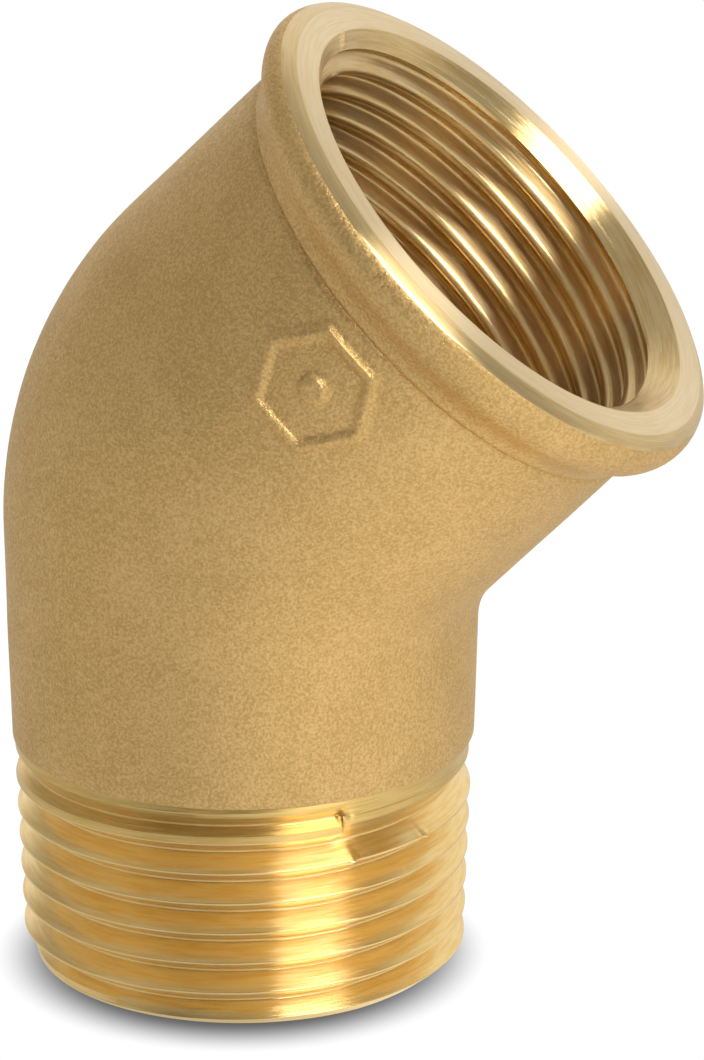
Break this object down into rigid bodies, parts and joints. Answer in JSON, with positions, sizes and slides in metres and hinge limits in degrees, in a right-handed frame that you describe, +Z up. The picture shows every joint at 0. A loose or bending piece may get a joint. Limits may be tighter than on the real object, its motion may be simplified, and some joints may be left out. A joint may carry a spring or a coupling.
{
  "type": "street elbow",
  "caption": "One-piece brass 45 degree pipe elbow with an external taper thread at one end and a collared internally threaded socket at the other.",
  "frame": {"origin": "on the plane of the male thread's flat end face, under the middle of the bounding box; the male thread's axis is vertical at x = -0.00807, y = 0", "axes": "+Z up the male thread's axis, from its end face towards the bend; +X towards the side that the socket leans to; Y is across the bend, and the XZ plane is the elbow's mirror plane apart from its threads"},
  "size_m": [0.0506, 0.0406, 0.0706],
  "materials": {
    "brass": "sandy matt cast skin, with bright machined threads, socket face and end face"
  },
  "bodies": {
    "root": {"elbow_body": "brass"}
  },
  "joints": []
}
